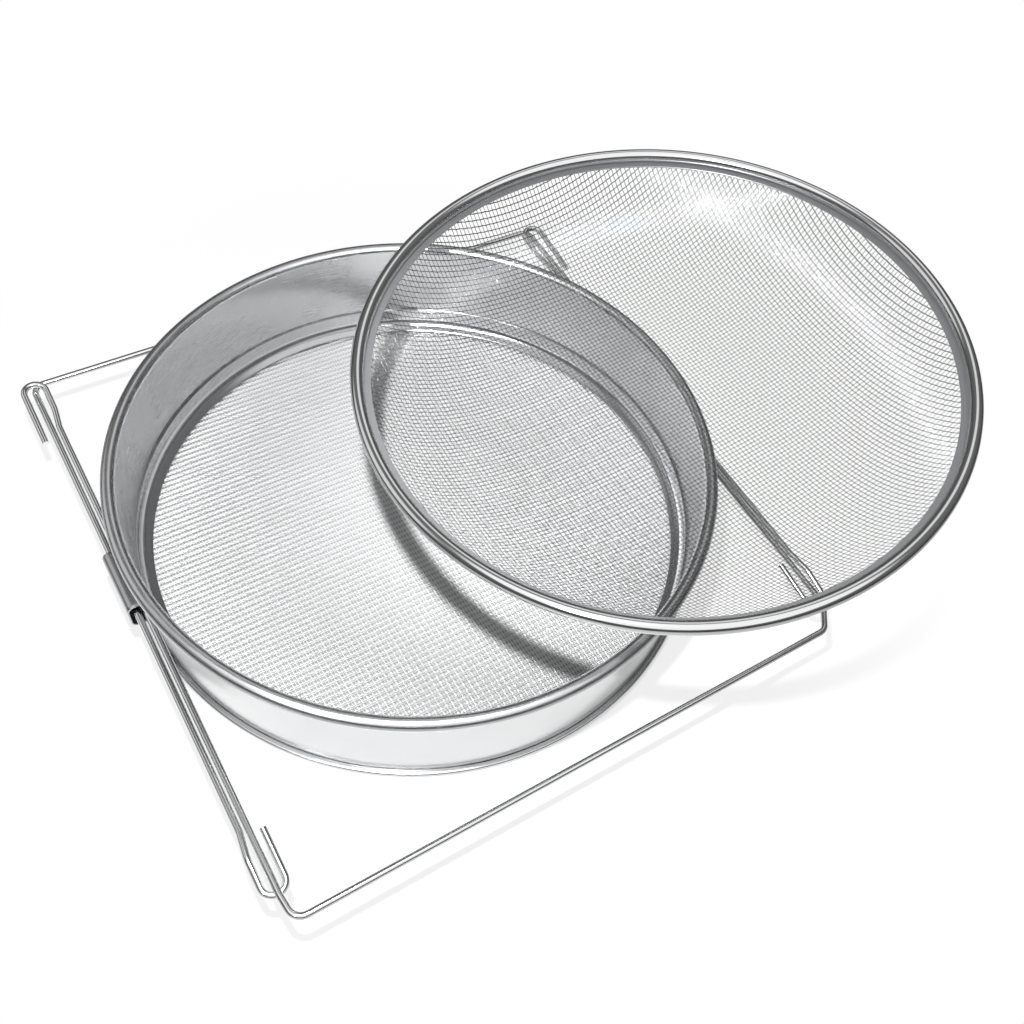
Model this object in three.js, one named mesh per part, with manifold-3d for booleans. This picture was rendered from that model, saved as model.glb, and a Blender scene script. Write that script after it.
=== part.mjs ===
// Double mesh strainer: a drum sieve on two sliding wire arms, with a loose upper sieve laid on its rim.
// Millimetres, +Z up. Every piece is drawn about the drum's axis, with the drum standing on z = 0, and the
// whole assembly is then centred on its own footprint.

import * as THREE from 'three';
import { mergeVertices } from 'three/addons/utils/BufferGeometryUtils.js';
import Module from 'manifold-3d';

// Drum sieve
const DRUM_INNER_RADIUS = 116.2;
const DRUM_HEIGHT = 50.4;
const DRUM_SHEET = 0.7;
const DRUM_BEAD_RADIUS = 2.75;
const HEM_REACH = 2.2;
const HEM_HEIGHT = 2;
const HEM_ROUNDING = 0.5;
const BASE_FLANGE_WIDTH = 5;

// Ring that clamps the lower mesh
const CLAMP_TOP = 12.3;
const CLAMP_SHEET = 0.7;
const CLAMP_KNEE_RISE = 4.2;
const CLAMP_FOOT_REACH = 4.4;

// Upper sieve
const SIEVE_RIM_RADIUS = 121.2;
const SIEVE_BEAD_RADIUS = 2.7;
const SIEVE_SHEET = 0.6;
const SIEVE_FLANGE_WIDTH = 2.4;
const SIEVE_FLANGE_DROP = 2.2;
const BOWL_DEPTH = 36;
const BOWL_POWER = 4.2;
const SIEVE_SHIFT = 97;
const SIEVE_SHIFT_ANGLE = THREE.MathUtils.degToRad(-17);
const SIEVE_TILT = THREE.MathUtils.degToRad(5.8);

// Woven sheets, drawn as open nets
const NET_PITCH = 20;
const NET_BAR = 2;
const NET_THICKNESS = 1;
const NET_BORDER = 4;
const NET_BORDER_PROUD = 0.15;

// Wire arms
const WIRE_DIAMETER = 2.6;
const ARM_HEIGHT = 25;
const ARM_CORNER_BEND = 5;
const FRONT_BAR_REACH = 138;
const FRONT_INSET_LEFT = 1;
const FRONT_INSET_RIGHT = 7.5;
const FRONT_INSET_LENGTH = 10;
const HOOK_LENGTH = 22;
const BACK_HOOK_LENGTH = 30;
const HOOK_SIDE_ROOM = 1.7;
const HOOK_RAMP = 10;

// Guides for the arms on the drum's sides
const CLIP_LENGTH = 27.5;
const CLIP_OFFSET = 8.7;
const CLIP_SHEET = 0.8;
const CLIP_SIDE_ROOM = 1.3;
const CLIP_ROOM_ABOVE = 1.7;
const CLIP_ROOM_BELOW = 7.2;
const CLIP_ROUNDING = 2.4;

// Clearances
const SEAT_GAP = 0.3;
const WIRE_GAP = 0.4;
const CURL_GAP = 0.35;

// Fineness of the round shapes
const ROUND_STEPS = 48;
const CURL_STEPS = 8;
const CORE_SIDES = 6;
const WIRE_SIDES = 8;
const BEND_STEP = THREE.MathUtils.degToRad(30);
const SEAT_SAMPLES = 720;
const SEAT_PASSES = 4;

// Values worked out from the sizes above
const DRUM_OUTER_RADIUS = DRUM_INNER_RADIUS + DRUM_SHEET;
const DRUM_BEAD_CENTRE = DRUM_INNER_RADIUS + DRUM_BEAD_RADIUS;
const DRUM_BEAD_HEIGHT = DRUM_HEIGHT - DRUM_BEAD_RADIUS;
const LOWER_MESH_BOTTOM = DRUM_SHEET + SEAT_GAP + NET_BORDER_PROUD;
const LOWER_MESH_TOP = LOWER_MESH_BOTTOM + NET_THICKNESS + NET_BORDER_PROUD;
const WIRE_RADIUS = WIRE_DIAMETER / 2;
const FRONT_LEG = DRUM_OUTER_RADIUS + WIRE_GAP + WIRE_RADIUS;
const BACK_LEG = FRONT_LEG + WIRE_DIAMETER + WIRE_GAP;
const BACK_BAR_REACH = DRUM_OUTER_RADIUS + WIRE_GAP + WIRE_RADIUS;
const CROSSING_RISE = WIRE_DIAMETER + WIRE_GAP;
const HOOK_HALF_WIDTH = WIRE_DIAMETER + HOOK_SIDE_ROOM;

const wasm = await Module();
wasm.setup();

// Joins coincident corners, so that a shape is one closed skin.
function weld(geometry) {
  geometry.deleteAttribute('normal');
  geometry.deleteAttribute('uv');
  const welded = mergeVertices(geometry);
  welded.computeVertexNormals();
  return welded;
}

function toSolid(geometry) {
  const skin = weld(geometry);
  const vertProperties = Float32Array.from(skin.attributes.position.array);
  const triVerts = Uint32Array.from(skin.index.array);
  return new wasm.Manifold(new wasm.Mesh({ numProp: 3, vertProperties, triVerts }));
}

function toGeometry(solid) {
  const { vertProperties, triVerts } = solid.getMesh();
  const geometry = new THREE.BufferGeometry();
  geometry.setAttribute('position', new THREE.BufferAttribute(vertProperties, 3));
  geometry.setIndex(new THREE.BufferAttribute(triVerts, 1));
  geometry.computeVertexNormals();
  return geometry;
}

// Points of an arc from one angle to another, both ends included.
function arc(centreX, centreY, radius, from, to, steps) {
  const points = [];
  for (let step = 0; step <= steps; step += 1) {
    const angle = THREE.MathUtils.degToRad(from + ((to - from) * step) / steps);
    points.push(new THREE.Vector2(centreX + radius * Math.cos(angle), centreY + radius * Math.sin(angle)));
  }
  return points;
}

// Turns a closed outline of radius and height about the Z axis.
function turn(outline) {
  const loop = THREE.ShapeUtils.isClockWise(outline) ? [...outline].reverse() : outline;
  const geometry = new THREE.LatheGeometry([...loop, loop[0]], ROUND_STEPS);
  geometry.rotateX(Math.PI / 2);
  return weld(geometry);
}

function drumWall() {
  const curlStart = 180;
  const curlEnd = -125;
  const curlInside = arc(
    DRUM_BEAD_CENTRE, DRUM_BEAD_HEIGHT, DRUM_BEAD_RADIUS - DRUM_SHEET, curlStart, curlEnd, CURL_STEPS,
  );
  const curlOutside = arc(
    DRUM_BEAD_CENTRE, DRUM_BEAD_HEIGHT, DRUM_BEAD_RADIUS, curlEnd, curlStart, CURL_STEPS,
  );
  const hemRadius = DRUM_OUTER_RADIUS + HEM_REACH;
  const flangeRadius = DRUM_INNER_RADIUS - BASE_FLANGE_WIDTH;
  return turn([
    new THREE.Vector2(flangeRadius, 0),
    new THREE.Vector2(hemRadius, 0),
    new THREE.Vector2(hemRadius, HEM_HEIGHT - HEM_ROUNDING),
    new THREE.Vector2(hemRadius - HEM_ROUNDING, HEM_HEIGHT),
    new THREE.Vector2(DRUM_OUTER_RADIUS, HEM_HEIGHT),
    ...curlInside,
    ...curlOutside,
    new THREE.Vector2(DRUM_INNER_RADIUS, DRUM_SHEET),
    new THREE.Vector2(flangeRadius, DRUM_SHEET),
  ]);
}

function rimWire(centreRadius, centreHeight, beadRadius, sheet) {
  const radius = beadRadius - sheet - CURL_GAP;
  return turn(arc(centreRadius, centreHeight, radius, 0, 360, CORE_SIDES).slice(1));
}

function clampRing() {
  const outside = DRUM_INNER_RADIUS - SEAT_GAP;
  const inside = outside - CLAMP_SHEET;
  const foot = LOWER_MESH_TOP + SEAT_GAP;
  const toe = inside - CLAMP_FOOT_REACH;
  return turn([
    new THREE.Vector2(toe, foot),
    new THREE.Vector2(toe + CLAMP_SHEET, foot),
    new THREE.Vector2(outside, foot + CLAMP_KNEE_RISE - CLAMP_SHEET),
    new THREE.Vector2(outside, CLAMP_TOP),
    new THREE.Vector2(inside, CLAMP_TOP),
    new THREE.Vector2(inside, foot + CLAMP_KNEE_RISE),
    new THREE.Vector2(toe, foot + CLAMP_SHEET),
  ]);
}

// Height of the upper bowl's middle surface below its rim's centre, at a distance from the axis.
const BOWL_EDGE_RADIUS = SIEVE_RIM_RADIUS - SIEVE_BEAD_RADIUS - SIEVE_FLANGE_WIDTH / 2;
const BOWL_EDGE_DROP = SIEVE_FLANGE_DROP + SEAT_GAP + NET_THICKNESS / 2 + NET_BORDER_PROUD;
function bowlHeight(radius) {
  return -BOWL_EDGE_DROP - BOWL_DEPTH * (1 - (radius / BOWL_EDGE_RADIUS) ** BOWL_POWER);
}

// A square grid of bars, two faces deep, reaching past the given radius.
function openGrid(reach, heightAt) {
  const bars = Math.ceil(reach / NET_PITCH);
  const lines = [];
  for (let bar = -bars; bar <= bars; bar += 1) {
    lines.push(bar * NET_PITCH - NET_BAR / 2, bar * NET_PITCH + NET_BAR / 2);
  }
  const count = lines.length;
  const corners = [];
  for (const side of [1, -1]) {
    for (const y of lines) {
      for (const x of lines) {
        corners.push(x, y, heightAt(Math.hypot(x, y)) + (side * NET_THICKNESS) / 2);
      }
    }
  }
  const top = (column, row) => row * count + column;
  const bottom = (column, row) => count * count + top(column, row);
  const isFilled = (column, row) => {
    const isInside = column >= 0 && row >= 0 && column < count - 1 && row < count - 1;
    return isInside && !(column % 2 === 1 && row % 2 === 1);
  };
  const faces = [];
  const quad = (a, b, c, d) => faces.push(a, b, c, a, c, d);
  const wall = (from, to) => quad(bottom(...from), bottom(...to), top(...to), top(...from));
  for (let row = 0; row < count - 1; row += 1) {
    for (let column = 0; column < count - 1; column += 1) {
      if (isFilled(column, row)) {
        const [a, b, c, d] = [[column, row], [column + 1, row], [column + 1, row + 1], [column, row + 1]];
        quad(top(...a), top(...b), top(...c), top(...d));
        quad(bottom(...d), bottom(...c), bottom(...b), bottom(...a));
        if (!isFilled(column, row - 1)) wall(a, b);
        if (!isFilled(column + 1, row)) wall(b, c);
        if (!isFilled(column, row + 1)) wall(c, d);
        if (!isFilled(column - 1, row)) wall(d, a);
      }
    }
  }
  const geometry = new THREE.BufferGeometry();
  geometry.setAttribute('position', new THREE.Float32BufferAttribute(corners, 3));
  geometry.setIndex(faces);
  return geometry;
}

// A round net: an open grid trimmed to a circle and bound by a border band.
function roundNet(edgeRadius, heightAt) {
  const trimRadius = edgeRadius - NET_BORDER / 2;
  const trimHeight = 4 * (BOWL_DEPTH + BOWL_EDGE_DROP);
  const trimmer = new THREE.CylinderGeometry(trimRadius, trimRadius, trimHeight, ROUND_STEPS);
  trimmer.rotateX(Math.PI / 2);
  const half = NET_THICKNESS / 2 + NET_BORDER_PROUD;
  const bandInside = edgeRadius - NET_BORDER;
  const band = turn([
    new THREE.Vector2(bandInside, heightAt(bandInside) - half),
    new THREE.Vector2(trimRadius, heightAt(trimRadius) - half),
    new THREE.Vector2(edgeRadius, heightAt(edgeRadius) - half),
    new THREE.Vector2(edgeRadius, heightAt(edgeRadius) + half),
    new THREE.Vector2(trimRadius, heightAt(trimRadius) + half),
    new THREE.Vector2(bandInside, heightAt(bandInside) + half),
  ]);
  const grid = toSolid(openGrid(edgeRadius, heightAt)).intersect(toSolid(trimmer));
  return toGeometry(grid.add(toSolid(band)));
}

function lowerMesh() {
  const edge = DRUM_INNER_RADIUS - SEAT_GAP;
  const middle = LOWER_MESH_BOTTOM + NET_THICKNESS / 2;
  return roundNet(edge, () => middle);
}

function upperRim() {
  const flangeJoin = 195;
  const curlEnd = -115;
  const inner = SIEVE_BEAD_RADIUS - SIEVE_SHEET;
  const tip = SIEVE_RIM_RADIUS - SIEVE_BEAD_RADIUS - SIEVE_FLANGE_WIDTH;
  return turn([
    ...arc(SIEVE_RIM_RADIUS, 0, SIEVE_BEAD_RADIUS, flangeJoin, curlEnd, CURL_STEPS),
    ...arc(SIEVE_RIM_RADIUS, 0, inner, curlEnd, flangeJoin, CURL_STEPS),
    new THREE.Vector2(tip, -SIEVE_FLANGE_DROP),
    new THREE.Vector2(tip, SIEVE_SHEET - SIEVE_FLANGE_DROP),
  ]);
}

// Stations of a bent wire: straight runs between the given corners, each corner rounded to its bend.
function bentRoute(corners) {
  const stations = [corners[0].at];
  for (let index = 1; index < corners.length - 1; index += 1) {
    const { at, bend } = corners[index];
    const arriving = at.clone().sub(corners[index - 1].at).normalize();
    const leaving = corners[index + 1].at.clone().sub(at).normalize();
    const turned = arriving.angleTo(leaving);
    const inward = leaving.clone().addScaledVector(arriving, -arriving.dot(leaving)).normalize();
    const start = at.clone().addScaledVector(arriving, -bend * Math.tan(turned / 2));
    const centre = start.clone().addScaledVector(inward, bend);
    const steps = Math.max(1, Math.round(turned / BEND_STEP));
    for (let step = 0; step <= steps; step += 1) {
      const angle = (turned * step) / steps;
      const point = centre.clone().addScaledVector(inward, -bend * Math.cos(angle));
      point.addScaledVector(arriving, bend * Math.sin(angle));
      if (point.distanceTo(stations.at(-1)) > SEAT_GAP / 3) stations.push(point);
    }
  }
  stations.push(corners.at(-1).at);
  return stations;
}

// A curve that is swept station by station.
class WireRoute extends THREE.Curve {
  constructor(stations) {
    super();
    this.stations = stations;
  }

  getSpacedPoints() {
    return this.stations;
  }

  getTangentAt(share) {
    const last = this.stations.length - 1;
    const index = Math.round(share * last);
    const here = this.stations[index];
    const before = here.clone().sub(this.stations[Math.max(index - 1, 0)]).normalize();
    const after = this.stations[Math.min(index + 1, last)].clone().sub(here).normalize();
    return before.add(after).normalize();
  }
}

// Sweeps a round wire, turned so that the middle of its route has a flat underneath.
function sweepWire(corners) {
  const route = new WireRoute(bentRoute(corners));
  const steps = route.stations.length - 1;
  const frames = route.computeFrenetFrames(steps);
  const middle = Math.floor(steps / 2);
  const roll = Math.atan2(frames.binormals[middle].z, frames.normals[middle].z);
  const section = new THREE.Shape();
  for (let side = 0; side < WIRE_SIDES; side += 1) {
    const angle = roll + ((side + 0.5) * 2 * Math.PI) / WIRE_SIDES;
    const point = [WIRE_RADIUS * Math.cos(angle), WIRE_RADIUS * Math.sin(angle)];
    if (side === 0) section.moveTo(...point);
    else section.lineTo(...point);
  }
  section.closePath();
  return weld(new THREE.ExtrudeGeometry(section, { steps, extrudePath: route }));
}

function corner(x, y, z, bend) {
  return { at: new THREE.Vector3(x, y, z), bend };
}

// The back arm's leg on one side (-1 left, 1 right), from its hook's end to the back corner. The hook
// goes outside and under the front arm's leg.
function backLeg(side) {
  const outer = FRONT_LEG + HOOK_HALF_WIDTH;
  const inner = FRONT_LEG - HOOK_HALF_WIDTH;
  const turnY = FRONT_INSET_LENGTH + WIRE_RADIUS + WIRE_GAP - FRONT_BAR_REACH;
  const under = ARM_HEIGHT - CROSSING_RISE;
  return [
    corner(side * inner, turnY + HOOK_LENGTH, ARM_HEIGHT, 0),
    corner(side * inner, turnY, under, HOOK_HALF_WIDTH),
    corner(side * outer, turnY, under, HOOK_HALF_WIDTH),
    corner(side * outer, turnY + HOOK_HALF_WIDTH + HOOK_RAMP, ARM_HEIGHT, HOOK_RAMP),
    corner(side * BACK_LEG, turnY + HOOK_HALF_WIDTH + 2 * HOOK_RAMP, ARM_HEIGHT, HOOK_RAMP),
    corner(side * BACK_LEG, BACK_BAR_REACH, ARM_HEIGHT, ARM_CORNER_BEND),
  ];
}

// The front arm's leg on one side, from its hook's end to the front corner. The hook goes inside and
// over the back arm's leg.
function frontLeg(side, inset) {
  const outer = BACK_LEG + HOOK_HALF_WIDTH;
  const inner = BACK_LEG - HOOK_HALF_WIDTH;
  const turnY = BACK_BAR_REACH - WIRE_RADIUS - WIRE_GAP;
  const over = ARM_HEIGHT + CROSSING_RISE;
  const insetStart = FRONT_INSET_LENGTH - FRONT_BAR_REACH;
  return [
    corner(side * outer, turnY - BACK_HOOK_LENGTH, ARM_HEIGHT, 0),
    corner(side * outer, turnY, over, HOOK_HALF_WIDTH),
    corner(side * inner, turnY, over, HOOK_HALF_WIDTH),
    corner(side * inner, turnY - HOOK_HALF_WIDTH - HOOK_RAMP, ARM_HEIGHT, HOOK_RAMP),
    corner(side * FRONT_LEG, turnY - HOOK_HALF_WIDTH - 2 * HOOK_RAMP, ARM_HEIGHT, HOOK_RAMP),
    corner(side * FRONT_LEG, insetStart, ARM_HEIGHT, ARM_CORNER_BEND),
    corner(side * (FRONT_LEG - inset), -FRONT_BAR_REACH, ARM_HEIGHT, ARM_CORNER_BEND),
  ];
}

function backArm() {
  return sweepWire([...backLeg(-1), ...backLeg(1).reverse()]);
}

function frontArm() {
  return sweepWire([...frontLeg(-1, FRONT_INSET_LEFT), ...frontLeg(1, FRONT_INSET_RIGHT).reverse()]);
}

// A sheet channel round both wires, its two edges cut to the drum's curve.
function clip(side) {
  const low = ARM_HEIGHT - WIRE_RADIUS - CLIP_ROOM_BELOW;
  const high = ARM_HEIGHT + WIRE_RADIUS + CLIP_ROOM_ABOVE;
  const inside = BACK_LEG + WIRE_RADIUS + CLIP_SIDE_ROOM;
  const root = FRONT_LEG - CLIP_LENGTH;
  const channel = (grow) => {
    const rounding = CLIP_ROUNDING + grow;
    const right = inside + grow;
    return [
      ...arc(right - rounding, low - grow + rounding, rounding, -90, 0, 3),
      ...arc(right - rounding, high + grow - rounding, rounding, 0, 90, 3),
    ];
  };
  const outline = [
    new THREE.Vector2(root, low - CLIP_SHEET),
    ...channel(CLIP_SHEET),
    new THREE.Vector2(root, high + CLIP_SHEET),
    new THREE.Vector2(root, high),
    ...channel(0).reverse(),
    new THREE.Vector2(root, low),
  ];
  const strip = new THREE.ExtrudeGeometry(new THREE.Shape(outline), { depth: CLIP_LENGTH, bevelEnabled: false });
  strip.rotateX(Math.PI / 2);
  strip.translate(0, CLIP_OFFSET + CLIP_LENGTH / 2, 0);
  if (side < 0) strip.rotateZ(Math.PI).translate(0, 2 * CLIP_OFFSET, 0);
  const drumRadius = DRUM_OUTER_RADIUS + SEAT_GAP;
  const drum = new THREE.CylinderGeometry(drumRadius, drumRadius, 2 * DRUM_HEIGHT, ROUND_STEPS);
  drum.rotateX(Math.PI / 2);
  return toGeometry(toSolid(strip).subtract(toSolid(drum)));
}

// Height at which the tilted upper sieve comes to rest: its bowl just clears the drum's rolled rim.
function sieveRestHeight(turned, shift) {
  const untilt = turned.clone().invert();
  const underside = NET_THICKNESS / 2 + NET_BORDER_PROUD + SEAT_GAP;
  let height = DRUM_HEIGHT;
  for (let pass = 0; pass < SEAT_PASSES; pass += 1) {
    let lift = -Infinity;
    for (let sample = 0; sample < SEAT_SAMPLES; sample += 1) {
      const angle = (2 * Math.PI * sample) / SEAT_SAMPLES;
      const crown = new THREE.Vector3(
        DRUM_BEAD_CENTRE * Math.cos(angle), DRUM_BEAD_CENTRE * Math.sin(angle), DRUM_HEIGHT,
      );
      const local = crown.sub(shift).setZ(DRUM_HEIGHT - height).applyQuaternion(untilt);
      const radius = Math.hypot(local.x, local.y);
      if (radius < BOWL_EDGE_RADIUS) lift = Math.max(lift, local.z + underside - bowlHeight(radius));
    }
    height += lift;
  }
  return height;
}

function steel(color, roughness) {
  return new THREE.MeshStandardMaterial({ color, roughness, metalness: 1 });
}

function piece(name, geometry, material) {
  const mesh = new THREE.Mesh(geometry, material);
  mesh.name = name;
  return mesh;
}

const drumSieve = new THREE.Group();
drumSieve.add(
  piece('drum_wall', drumWall(), steel(0xc9cbcd, 0.28)),
  piece('drum_rim_wire', rimWire(DRUM_BEAD_CENTRE, DRUM_BEAD_HEIGHT, DRUM_BEAD_RADIUS, DRUM_SHEET),
    steel(0xa9abae, 0.4)),
  piece('clamp_ring', clampRing(), steel(0xd2d4d6, 0.22)),
  piece('lower_mesh', lowerMesh(), steel(0xdfe0e2, 0.35)),
  piece('left_clip', clip(-1), steel(0x9fa1a4, 0.3)),
  piece('right_clip', clip(1), steel(0x9fa1a4, 0.3)),
);

const arms = new THREE.Group();
arms.add(
  piece('back_arm', backArm(), steel(0xa6a8ab, 0.26)),
  piece('front_arm', frontArm(), steel(0xa6a8ab, 0.26)),
);

const upperSieve = new THREE.Group();
upperSieve.add(
  piece('upper_rim', upperRim(), steel(0xb9bbbe, 0.18)),
  piece('upper_rim_wire', rimWire(SIEVE_RIM_RADIUS, 0, SIEVE_BEAD_RADIUS, SIEVE_SHEET), steel(0xa9abae, 0.4)),
  piece('upper_mesh', roundNet(BOWL_EDGE_RADIUS, bowlHeight), steel(0xd9dadc, 0.32)),
);
const outward = new THREE.Vector3(Math.cos(SIEVE_SHIFT_ANGLE), Math.sin(SIEVE_SHIFT_ANGLE), 0);
const tiltAxis = new THREE.Vector3(outward.y, -outward.x, 0);
upperSieve.quaternion.setFromAxisAngle(tiltAxis, SIEVE_TILT);
upperSieve.position.copy(outward).multiplyScalar(SIEVE_SHIFT);
upperSieve.position.z = sieveRestHeight(upperSieve.quaternion, upperSieve.position.clone());

const assembly = new THREE.Group();
assembly.add(drumSieve, arms, upperSieve);
const footprint = new THREE.Box3().setFromObject(assembly, true).getCenter(new THREE.Vector3());
assembly.position.set(-footprint.x, -footprint.y, 0);

const strainer = new THREE.Group();
strainer.add(assembly);

export default strainer;
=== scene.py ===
"""Looks of the double mesh strainer: rolled steel drum, woven sieves and sliding wire arms."""

import logging
import math
from dataclasses import dataclass, replace
from enum import Enum
from functools import partial

import bpy
import numpy as np
from mathutils import Matrix, Vector


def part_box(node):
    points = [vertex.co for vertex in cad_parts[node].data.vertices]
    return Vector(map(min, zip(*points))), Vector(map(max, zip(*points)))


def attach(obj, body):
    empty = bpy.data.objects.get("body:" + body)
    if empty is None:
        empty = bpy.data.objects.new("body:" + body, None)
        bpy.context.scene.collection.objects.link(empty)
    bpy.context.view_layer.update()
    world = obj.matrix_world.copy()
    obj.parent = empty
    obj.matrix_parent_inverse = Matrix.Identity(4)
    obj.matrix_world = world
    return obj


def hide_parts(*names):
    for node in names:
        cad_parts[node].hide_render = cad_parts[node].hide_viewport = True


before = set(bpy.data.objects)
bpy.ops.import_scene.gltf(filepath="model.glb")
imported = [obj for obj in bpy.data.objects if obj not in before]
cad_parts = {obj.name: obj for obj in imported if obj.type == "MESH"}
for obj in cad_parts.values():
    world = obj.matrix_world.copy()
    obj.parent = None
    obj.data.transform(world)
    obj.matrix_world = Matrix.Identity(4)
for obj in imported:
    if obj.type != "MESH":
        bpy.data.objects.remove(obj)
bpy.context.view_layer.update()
LOG = logging.getLogger("strainer")
Point = tuple[float, float]
Points = tuple[Point, ...]
Colour = tuple[float, float, float]
Socket = bpy.types.NodeSocket
Tree = bpy.types.NodeTree
Piece = bpy.types.Object

MM = 0.001

# How close corners have to lie to be merged, on a finished skin and along a row of copies
WELD = 2e-6
ROW_WELD = 1e-6

# Angles in degrees above which edges stay sharp, 0 to leave the shading alone
SHEET_CREASE = 40.0
WIRE_CREASE = 50.0
WOVEN_CREASE = 0.0

# Blender's bevel resolution for a bent wire, which makes its section 16-sided
WIRE_ROUNDNESS = 6

# Share of a cloth's radius past which no wire is woven in
LAST_WIRE = 0.995


class Body(Enum):
    """The moving groups of the strainer."""

    DRUM = "drum_sieve"
    BACK = "back_frame"
    FRONT = "front_frame"
    UPPER = "upper_sieve"


class Grain(Enum):
    """How a finish's fine marks run."""

    TURNED = "turned"
    DRAWN = "drawn"


class Run(Enum):
    """Which way a set of woven wires runs, in degrees."""

    WARP = 0.0
    WEFT = 90.0


# Marks on steel: how far turned marks are drawn out round the axis, how fine the marks and the
# clouds are, how much a streak changes the tone, the least roughness and the relief's strength
TURN_STRETCH = 0.006
MARK_FINENESS = {Grain.TURNED: 2600.0, Grain.DRAWN: 900.0}
MARK_DETAIL = 3.0
CLOUD_FINENESS = 28.0
CLOUD_DETAIL = 4.0
STREAK_TONE = 0.6
LEAST_ROUGHNESS = 0.04
RELIEF_STRENGTH = 0.35
MARK_INPUTS = (
    ("Vector", "NodeSocketVector"),
    ("Colour", "NodeSocketColor"),
    ("Roughness", "NodeSocketFloat"),
    ("Streaks", "NodeSocketFloat"),
    ("Stain", "NodeSocketFloat"),
    ("Sway", "NodeSocketFloat"),
)
MARK_OUTPUTS = (
    ("Colour", "NodeSocketColor"),
    ("Roughness", "NodeSocketFloat"),
    ("Height", "NodeSocketFloat"),
)


class Bench:
    """Hand tools: small steps of modelling shared by all sub-assemblies."""

    @staticmethod
    def clear() -> None:
        """Deselects everything, so that the next tool touches only its own piece."""
        bpy.ops.object.select_all(action="DESELECT")

    @staticmethod
    def take(piece: Piece) -> None:
        """Makes a piece the only selected one and the active one.

        Args:
            piece: the piece to work on next.
        """
        Bench.clear()
        piece.select_set(True)
        bpy.context.view_layer.objects.active = piece

    @staticmethod
    def outline(name: str, points: list[Point]) -> Piece:
        """Draws an outline in the XZ plane, one extruded corner after another.

        Args:
            name: name of the new piece.
            points: corners as distance from the axis and height, in metres.

        Returns:
            The piece, left in edit mode with the whole outline selected.
        """
        Bench.clear()
        bpy.ops.mesh.primitive_plane_add(size=MM)
        piece = bpy.context.object
        piece.name = piece.data.name = name
        bpy.ops.object.mode_set(mode="EDIT")
        bpy.ops.mesh.merge(type="CENTER")
        bpy.ops.transform.translate(value=(points[0][0], 0.0, points[0][1]))
        for before, after in zip(points, points[1:]):
            step = (after[0] - before[0], 0.0, after[1] - before[1])
            bpy.ops.mesh.extrude_region_move(TRANSFORM_OT_translate={"value": step})
        bpy.ops.mesh.select_all(action="SELECT")
        return piece

    @staticmethod
    def pick(chosen: np.ndarray) -> None:
        """Selects corners of the active piece, and only them, in edit mode.

        Args:
            chosen: one truth value for each corner.
        """
        bpy.ops.object.mode_set(mode="EDIT")
        bpy.ops.mesh.select_mode(type="VERT")
        bpy.ops.mesh.select_all(action="DESELECT")
        bpy.ops.object.mode_set(mode="OBJECT")
        bpy.context.object.data.vertices.foreach_set("select", chosen)
        bpy.ops.object.mode_set(mode="EDIT")

    @staticmethod
    def corners(piece: Piece) -> np.ndarray:
        """Reads the places of a piece's corners.

        Args:
            piece: the piece, in object mode.

        Returns:
            The places, one row for each corner.
        """
        places = np.empty(len(piece.data.vertices) * 3)
        piece.data.vertices.foreach_get("co", places)
        return places.reshape(-1, 3)

    @staticmethod
    def move_corners(piece: Piece, places: np.ndarray) -> None:
        """Moves a piece's corners to the given places, one row for each corner."""
        piece.data.vertices.foreach_set("co", places.ravel())
        piece.data.update()

    @staticmethod
    def close_ends() -> None:
        """Joins the two open ends of the outline being edited and selects all of it."""
        bpy.ops.object.mode_set(mode="OBJECT")
        mesh = bpy.context.object.data
        uses = np.zeros(len(mesh.vertices), dtype=int)
        for edge in mesh.edges:
            for corner in edge.vertices:
                uses[corner] += 1
        Bench.pick(uses == 1)
        bpy.ops.mesh.edge_face_add()
        bpy.ops.mesh.select_all(action="SELECT")

    @staticmethod
    def tidy_skin() -> None:
        """Merges doubles, turns every face outwards and goes back to object mode."""
        bpy.ops.mesh.select_all(action="SELECT")
        bpy.ops.mesh.remove_doubles(threshold=WELD)
        bpy.ops.mesh.normals_make_consistent(inside=False)
        bpy.ops.object.mode_set(mode="OBJECT")

    @staticmethod
    def settle(piece: Piece, place: Matrix) -> None:
        """Puts a piece in its place and writes that place into its mesh.

        Args:
            piece: the piece, made about the origin.
            place: where it goes.
        """
        Bench.take(piece)
        piece.matrix_world = place
        bpy.ops.object.transform_apply(location=True, rotation=True, scale=True)

    @staticmethod
    def smooth(piece: Piece, degrees: float) -> None:
        """Shades a piece smooth except across edges sharper than the given angle."""
        Bench.take(piece)
        bpy.ops.object.shade_smooth_by_angle(angle=math.radians(degrees))

    @staticmethod
    def ring(name: str, points: list[Point], steps: int, slit: float = 0.0) -> Piece:
        """Turns a closed outline about the Z axis.

        Args:
            name: name of the new piece.
            points: corners of the closed outline, in order.
            steps: faces around the ring.
            slit: width in radians left open at angle zero, for a butt joint.

        Returns:
            The finished ring about the origin.
        """
        piece = Bench.outline(name, points)
        Bench.close_ends()
        if slit:
            bpy.ops.mesh.edge_face_add()
            bpy.ops.mesh.select_all(action="SELECT")
            bpy.ops.transform.rotate(value=-slit / 2, orient_axis="Z", center_override=(0, 0, 0))
        bpy.ops.mesh.spin(
            steps=steps, angle=2 * math.pi - slit, center=(0, 0, 0), axis=(0, 0, 1))
        Bench.tidy_skin()
        return piece

    @staticmethod
    def arc(centre: Point, radius: float, start: float, end: float, steps: int) -> list[Point]:
        """Draws an arc of an outline.

        Args:
            centre: the arc's middle.
            radius: the arc's radius.
            start: angle of the first point, in degrees.
            end: angle of the last point, in degrees.
            steps: straight pieces between the two.

        Returns:
            The arc's points, both ends included.
        """
        turns = [math.radians(start + (end - start) * step / steps) for step in range(steps + 1)]
        return [(centre[0] + radius * math.cos(turn), centre[1] + radius * math.sin(turn))
                for turn in turns]

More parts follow.
